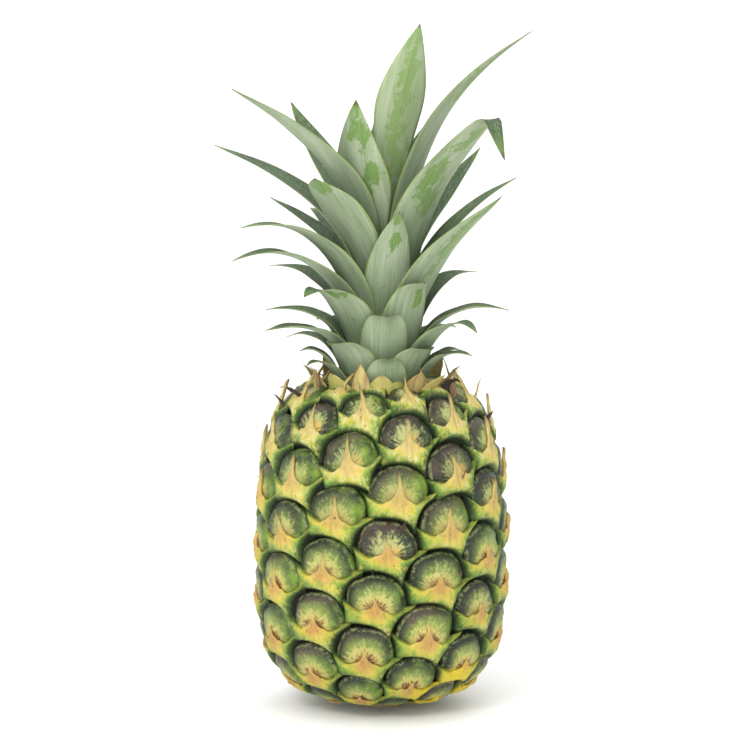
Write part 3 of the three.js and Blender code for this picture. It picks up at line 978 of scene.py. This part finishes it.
def cushion_withering(paint, r, far, rise, luck, cloud, rays, frost):
    """Paler insides, straw and brown centres on the lower eyes, which wither first."""
    wither = paint.fade(paint.plus(paint.times(rise, -1.0), luck[0], 0.5), -0.1, 0.55)
    inside = paint.times(wither, paint.fade(paint.plus(r, cloud, 0.4), 0.98, 0.62))
    paint.coat(inside, 0.6, rgb(138, 158, 66))
    straw = paint.plus(paint.plus(far, frost, 0.4), rays, 0.5)
    straw = paint.times(wither, paint.fade(straw, 0.98, 0.74))
    paint.coat(straw, 0.8, rgb(212, 196, 114))
    torn = paint.plus(paint.plus(far, frost, 0.7), rays, 0.8)
    core = paint.times(wither, paint.fade(torn, 1.1, 0.96))
    paint.coat(core, 0.9, rgb(104, 52, 30))


def cushion_edge(paint, y, r, frost, grain):
    """A broken pale ring inside the rim, the ripe patch, and the dark rim itself, its dark green made
    near-black with painted shade where it dives into the groove.
    """
    broken = paint.stir(r, grain, 0.1)
    ring = paint.overlap((broken, 0.79, 0.84), (broken, 0.91, 0.87), (frost, 0.44, 0.58))
    paint.coat(ring, 0.7, rgb(150, 158, 104))
    paint.coat(paint.times(ripe_patch(paint), paint.fade(y, 0.0, -0.3)), 1.0, rgb(224, 200, 40))
    # Painted shade: the rim, where the cushion dives into the groove, is darkened near-black over its
    # own dark green.
    paint.coat(paint.fade(broken, 0.9, 0.965), 1.0, rgb(18, 30, 8))


def dome_material():
    """Glossy dark green, blackish at the rim with painted groove shade over the dark green, with a
    powdery bloom in the hollows by the point.
    """
    paint = Paint("eye_cushion")
    x, y, r = paint.parts("place")
    _, far, rise = paint.parts("fan")
    luck = paint.parts("luck")
    own = paint.shifted(paint.field("place"), paint.field("luck"))
    fan = paint.shifted(paint.field("fan"), paint.field("luck"))
    rays = paint.noise(paint.stretch(fan, (2.6, 0.9, 0.0)), 3.0, 5.0, 0.7, 0.4)
    cloud = paint.noise(own, 2.4, 5.0, 0.62)
    grain = paint.noise(own, 24.0, 4.0, 0.7)
    frost = paint.noise(own, 9.0, 6.0, 0.75)
    cushion_green(paint, x, y, luck, cloud, grain)
    bloom = cushion_heart(paint, x, y, luck, rays, frost)
    haze = paint.overlap((grain, 0.46, 0.72), (r, 0.92, 0.6))
    paint.coat(haze, 0.34, rgb(126, 136, 86))
    beside = paint.length(paint.sum("ADD", x, -0.16), y)
    glow = paint.overlap((beside, 0.24, 0.06), (rays, 0.62, 0.42), (luck[1], 0.15, 0.75))
    paint.coat(glow, 0.85, rgb(218, 170, 84))
    cushion_withering(paint, r, far, rise, luck, cloud, rays, frost)
    cushion_edge(paint, y, r, frost, grain)
    specks = paint.overlap((paint.dots(own, 24.0), 0.13, 0.06), (cloud, 0.5, 0.58))
    paint.coat(specks, 0.8, rgb(205, 205, 185))
    paint.bump(paint.plus(paint.times(frost, 0.8), rays, 0.8), 0.8, 0.0011)
    paint.rough(bloom, (0.0, 0.3), (1.0, 0.6))
    paint.set(Base_Color=paint.colour, Specular_IOR_Level=0.42)
    return paint.material


def bract_ground(paint, depth, luck, patches):
    """Green at the grooves, yellow to straw at the middle, golden in patches and leafy in others."""
    _, b, c = luck
    paint.colour = paint.ramp(depth, BRACT_COLOURS)
    golden = paint.overlap((patches, 0.52, 0.62), (c, -0.2, 0.6))
    paint.coat(golden, 0.5, rgb(222, 198, 64))
    leafy = paint.overlap((patches, 0.46, 0.36), (b, 1.1, 0.3))
    paint.coat(leafy, 0.75, rgb(124, 160, 58))


def bract_frost(paint, wide, y, rise, depth, frosty):
    """Pale streaks low on a bract, chalky bloom on the upper eyes, and mossy gaps between."""
    low = paint.fade(y, -0.22, -0.55)
    pale = paint.times(paint.fade(frosty, 0.47, 0.6), paint.sum("MULTIPLY_ADD", low, 0.6, 0.15))
    pale = paint.times(pale, paint.fade(wide, 0.7, 0.3))
    paint.coat(pale, 0.85, rgb(216, 202, 132))
    chalk = paint.overlap((frosty, 0.44, 0.58), (rise, 0.15, 0.6), (depth, 0.15, 0.45))
    paint.coat(chalk, 0.55, rgb(216, 212, 176))
    mossy = paint.overlap((frosty, 0.46, 0.36), (depth, 0.5, 0.1))
    paint.coat(mossy, 0.4, rgb(112, 142, 62))


def bract_point(paint, wide, y, rise, fibres):
    """Straw fibre up the point, and an orange glow at its root."""
    spire = paint.overlap((wide, 0.28, 0.08), (y, -0.5, 0.05))
    paint.coat(spire, 0.8, paint.ramp(fibres, SPIRE_COLOURS))
    root = paint.sum("ABSOLUTE", paint.sum("ADD", y, 0.1))
    ember = paint.overlap((wide, 0.36, 0.04), (root, 0.34, 0.04), (fibres, 0.4, 0.56))
    ember = paint.times(ember, paint.fade(rise, 0.7, -0.25))
    paint.coat(ember, 0.8, rgb(198, 124, 56))


def bract_marks(paint, own, depth, edge, patches):
    """The green of the grooves and near-black painted groove shade at the bract's edges, brown scars and
    small brown flecks.
    """
    # Dark green where the bract dives into the groove, partly its own colour and partly painted shade;
    # near-black painted shade at the very edge, in the groove.
    paint.coat(paint.fade(edge, 0.11, 0.0), 0.85, rgb(46, 78, 18))
    paint.coat(paint.fade(edge, 0.02, -0.04), 1.0, rgb(18, 32, 8))
    scars = paint.overlap((paint.noise(own, 6.5, 3.0), 0.66, 0.7), (depth, 0.1, 0.3))
    paint.coat(scars, 0.8, rgb(104, 66, 40))
    flecks = paint.overlap((paint.dots(own, 13.0), 0.14, 0.07), (patches, 0.46, 0.54))
    paint.coat(flecks, 0.75, rgb(96, 66, 42))


def bract_material():
    """Straw fibre at the point, yellow and yellow-green to the sides, green at the grooves."""
    paint = Paint("eye_bract")
    x, y, _ = paint.parts("place")
    gap, tip, rise = paint.parts("shade")
    luck = paint.parts("luck")
    own = paint.shifted(paint.field("place"), paint.field("luck"))
    cloud = paint.noise(own, 2.6)
    patches = paint.noise(paint.shifted(own, (0.3, 0.7, 0.1)), 4.2)
    fibres = paint.noise(paint.stretch(own, (0.8, 0.9, 7.0)), 5.0, 5.0, 0.72, 0.3)
    grain = paint.noise(own, 40.0, 3.0, 0.7)
    frost = paint.noise(own, 7.0, 6.0, 0.75)
    wide = paint.sum("ABSOLUTE", x)
    depth = paint.plus(gap, paint.fade(wide, 0.42, 0.08), 0.26)
    depth = paint.plus(depth, paint.fade(y, -0.42, -0.06), 0.16)
    depth = paint.stir(paint.stir(depth, cloud, 0.6), fibres, 0.3)
    depth = paint.stir(depth, luck[0], 0.14)
    bract_ground(paint, depth, luck, patches)
    bract_frost(paint, wide, y, rise, depth, paint.stir(frost, fibres, 0.5))
    bract_point(paint, wide, y, rise, fibres)
    rust = paint.overlap((fibres, 0.57, 0.68), (patches, 0.44, 0.56), (depth, 0.2, 0.4))
    paint.coat(rust, 0.7, rgb(148, 92, 52))
    dry = paint.fade(paint.plus(tip, grain, 0.3), 0.8, 1.06)
    paint.coat(dry, 0.6, rgb(178, 130, 84))
    paint.coat(ripe_patch(paint), 0.85, rgb(232, 208, 38))
    bract_marks(paint, own, depth, paint.stir(gap, fibres, 0.1), patches)
    paint.bump(paint.plus(paint.times(frost, 0.7), fibres, 1.0), 0.9, 0.0012)
    paint.rough(cloud, (0.3, 0.44), (0.7, 0.62))
    paint.set(Base_Color=paint.colour)
    return paint.material


def bed_material():
    """Near-black green rind at the bottom of the grooves: its dark green darkened with painted groove
    shade.
    """
    paint = Paint("rind_in_grooves")
    cloud = paint.noise(paint.where(), 220.0)
    paint.bump(cloud, 0.4, 0.0006)
    paint.rough(cloud, (0.3, 0.6), (0.7, 0.8))
    paint.set(Base_Color=paint.ramp(cloud, BED_COLOURS))
    return paint.material


def leaf_bareness(paint, share, rims, worn, ragged):
    """How far the bloom is off: in the rubbed places, towards the tip and along the edges."""
    torn = paint.fade(paint.plus(ragged, worn, 0.3), 0.645, 0.675)
    tipward = paint.fade(paint.plus(share, ragged, 0.3), 1.02, 1.12)
    edge = paint.fade(paint.plus(rims, ragged, 0.22), 1.02, 1.1)
    ends = paint.sum("MAXIMUM", paint.times(tipward, 0.85), paint.times(edge, 0.7))
    return paint.sum("MAXIMUM", paint.times(torn, 0.85), ends), tipward


def leaf_outer(paint, share, order, bare, veins, cloud):
    """The grey-green outer face, greener where it is bare, with painted light that makes the heart leaf
    lighter and painted shade that darkens it towards the foot.
    """
    bloom = paint.ramp(paint.plus(paint.times(cloud, 0.45), veins, 0.55), LEAF_BLOOM)
    paint.colour = paint.mix(bare, bloom, paint.ramp(veins, LEAF_RUBBED))
    # Painted light: the heart leaf, tallest in the crown, is made lighter as if it caught more light.
    paint.coat(paint.fade(order, 0.96, 0.974), 0.3, rgb(172, 194, 138))
    # Painted shade: the outer face darkens towards the leaf's foot, low in the crown where the leaves
    # crowd.
    paint.coat(paint.fade(share, 0.6, 0.1), 0.55, rgb(88, 110, 78))
    return paint.colour


def leaf_inner(paint, tipward, veins, cloud, powder):
    """The darker inner face, dusted with pale powder."""
    paint.colour = paint.ramp(paint.plus(paint.times(cloud, 0.4), veins, 0.6), LEAF_INNER)
    paint.coat(paint.fade(powder, 0.5, 0.66), 0.6, rgb(160, 172, 152))
    paint.coat(tipward, 0.6, rgb(110, 142, 66))
    return paint.colour


def leaf_material():
    """Grey-green under a powdery bloom that is rubbed off in places, veined along its length."""
    paint = Paint("crown_leaf")
    _, share, side = paint.parts("sheet")
    worn, turn, order = paint.parts("wear")
    face = paint.parts("place")[2]
    own = paint.shifted(paint.field("place"), paint.field("luck"))
    veins = paint.noise(paint.stretch(own, (26.0, 0.9, 1.0)), 2.4)
    hair = paint.noise(paint.stretch(own, (90.0, 2.2, 1.0)), 3.0, 3.0)
    cloud = paint.noise(own, 2.2)
    ragged = paint.noise(paint.stretch(own, (2.4, 8.0, 1.0)), 1.6, 7.0, 0.72)
    powder = paint.noise(own, 50.0, 3.0, 0.8)
    spots = paint.noise(paint.stretch(own, (2.0, 14.0, 1.0)), 3.0, 3.0)
    rims = paint.sum("ABSOLUTE", side)
    bare, tipward = leaf_bareness(paint, share, rims, worn, ragged)
    outer = leaf_outer(paint, share, order, bare, veins, cloud)
    inner = leaf_inner(paint, tipward, veins, cloud, powder)
    paint.colour = paint.mix(paint.fade(face, -0.2, 0.2), inner, outer)
    margin = paint.fade(rims, 0.93, 0.985)
    paint.coat(margin, 0.5, rgb(164, 178, 104))
    paint.coat(paint.times(margin, paint.fade(spots, 0.56, 0.64)), 0.8, rgb(158, 116, 58))
    dots = paint.overlap((powder, 0.6, 0.72), (cloud, 0.45, 0.6))
    paint.coat(dots, 0.35, rgb(214, 222, 206))
    paint.coat(paint.fade(paint.plus(share, turn, 0.006), 0.968, 0.99), 0.85, rgb(96, 66, 40))
    paint.bump(paint.plus(paint.times(hair, 0.5), veins, 0.9), 0.6, 0.0007)
    paint.rough(bare, (0.0, 0.62), (1.0, 0.4))
    paint.set(Base_Color=paint.colour, Specular_IOR_Level=0.35)
    return paint.material


def dry_material():
    """Small dry blades: near-black, tan or straw by their tone, yellow-green where still alive."""
    paint = Paint("dry_blade")
    share = paint.parts("sheet")[1]
    tone = paint.parts("wear")[0]
    own = paint.shifted(paint.field("place"), paint.field("luck"))
    fibres = paint.noise(paint.stretch(own, (24.0, 1.5, 1.0)), 3.0, 5.0, 0.7)
    cloud = paint.noise(own, 8.0, 4.0, 0.65)
    paint.colour = paint.ramp(paint.stir(paint.stir(tone, fibres, 0.75), cloud, 0.7), DRY_COLOURS)
    alive = paint.overlap((tone, 0.72, 0.85), (share, 0.55, 0.1))
    paint.coat(alive, 0.8, rgb(150, 182, 62))
    point = paint.overlap((share, 0.8, 0.98), (tone, 0.4, 0.7))
    paint.coat(point, 0.6, rgb(134, 108, 72))
    paint.bump(fibres, 0.7, 0.0006)
    paint.rough(cloud, (0.3, 0.55), (0.7, 0.78))
    paint.set(Base_Color=paint.colour)
    return paint.material


def wood_material():
    """The fibrous stalk and stem, tan with greenish clouds."""
    paint = Paint("stalk_and_stem")
    where = paint.where()
    rings = paint.noise(paint.stretch(where, (1.0, 1.0, 0.15)), 900.0, 5.0, 0.7)
    cloud = paint.noise(where, 180.0)
    colour = paint.mix(paint.fade(cloud, 0.4, 0.7), paint.ramp(rings, WOOD_COLOURS), WOOD_GREEN)
    paint.bump(rings, 0.7, 0.0008)
    paint.rough(cloud, (0.3, 0.75), (0.7, 0.92))
    paint.set(Base_Color=colour)
    return paint.material


# The picture

FLOOR_RADIUS = 12000.0
FLOOR_SIDES = 64
FLOOR_DROP = 0.3
FLOOR_GREY = 0.97
# Camera, in the frame's metres and the picture's pixels
SENSOR = 36.0
LENS = 196.7
ELEVATION = math.radians(8.25)
DISTANCE = 2.0
TARGET = Vector((0, 0, 0.1536))
IMAGE_SIZE = 750.0
TARGET_PIXEL = (381.4, 393.9)
SKY_STRENGTH = 0.87


def make_camera():
    data = bpy.data.cameras.new("camera")
    data.sensor_width = SENSOR
    data.lens = LENS
    data.shift_x = (IMAGE_SIZE / 2 - TARGET_PIXEL[0]) / IMAGE_SIZE
    data.shift_y = (TARGET_PIXEL[1] - IMAGE_SIZE / 2) / IMAGE_SIZE
    camera = bpy.data.objects.new("camera", data)
    bpy.context.scene.collection.objects.link(camera)
    back = Vector((0, -math.cos(ELEVATION), math.sin(ELEVATION)))
    camera.location = TARGET + back * DISTANCE
    camera.rotation_euler = (math.pi / 2 - ELEVATION, 0, 0)
    bpy.context.scene.camera = camera
    bpy.context.scene.view_settings.view_transform = "Standard"


def make_floor():
    """A plain pale floor, wide enough to fill the picture's ground."""
    turns = np.arange(FLOOR_SIDES) * 2 * math.pi / FLOOR_SIDES
    points = [(FLOOR_RADIUS * math.cos(t), FLOOR_RADIUS * math.sin(t), -FLOOR_DROP) for t in turns]
    floor = make_piece("floor", points, [tuple(range(FLOOR_SIDES))])
    paint = Paint("pale_floor")
    paint.set(Base_Color=(FLOOR_GREY,) * 3, Roughness=0.75)
    floor.data.materials.append(paint.material)


def place_light(data, place, target):
    """Puts a light at a place and turns it towards a target."""
    light = bpy.data.objects.new(data.name, data)
    light.location = place
    light.rotation_euler = (target - Vector(place)).to_track_quat("-Z", "Y").to_euler()
    bpy.context.scene.collection.objects.link(light)


def make_sun(name, place, strength, spread):
    """A far soft light that shines from a place towards the object."""
    data = bpy.data.lights.new(name, "SUN")
    data.energy = strength
    data.angle = math.radians(spread)
    place_light(data, place, Vector((0, 0, 0)))


def make_light(name, place, size, power):
    """A square soft light near the object."""
    data = bpy.data.lights.new(name, "AREA")
    data.energy = power
    data.size = size
    place_light(data, place, TARGET)


def make_world():
    world = bpy.data.worlds.new("studio")
    world.use_nodes = True
    background = world.node_tree.nodes["Background"]
    background.inputs["Color"].default_value = (1, 1, 1, 1)
    background.inputs["Strength"].default_value = SKY_STRENGTH
    bpy.context.scene.world = world


def dress(piece, material, node):
    piece.data.materials.append(material)
    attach(piece, "root")
    if node:
        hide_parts(node)


def main():
    make_camera()
    make_floor()
    make_world()
    make_sun("key", (-0.4, -1.0, 1.2), 1.35, 80)
    make_sun("rim", (0.6, 1.0, 1.2), 0.6, 40)
    make_light("window", (-0.5, -1.3, 1.1), 0.35, 6)
    make_light("low_fill", (0.1, -2.4, 0.3), 1.6, 18)
    eyes = [make_eye(step) for step in EYES]
    dress(make_bed(), bed_material(), "fruit")
    dress(make_domes(eyes), dome_material(), None)
    dress(make_bracts(eyes), bract_material(), None)
    dry = dry_material()
    dress(make_blades("crown_foot_bracts", FOOT_BRACTS), dry, None)
    dress(make_blades("withered_tips", WITHERED + dry_threads()), dry, None)
    green = leaf_material()
    for index in range(len(CROWN_LEAVES)):
        dress(make_leaf(index), green, f"leaf_{index + 1:02d}")
    wood = wood_material()
    for name in ("stalk", "crown_stem"):
        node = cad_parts[name]
        node.data.materials.clear()
        node.data.materials.append(wood)


main()
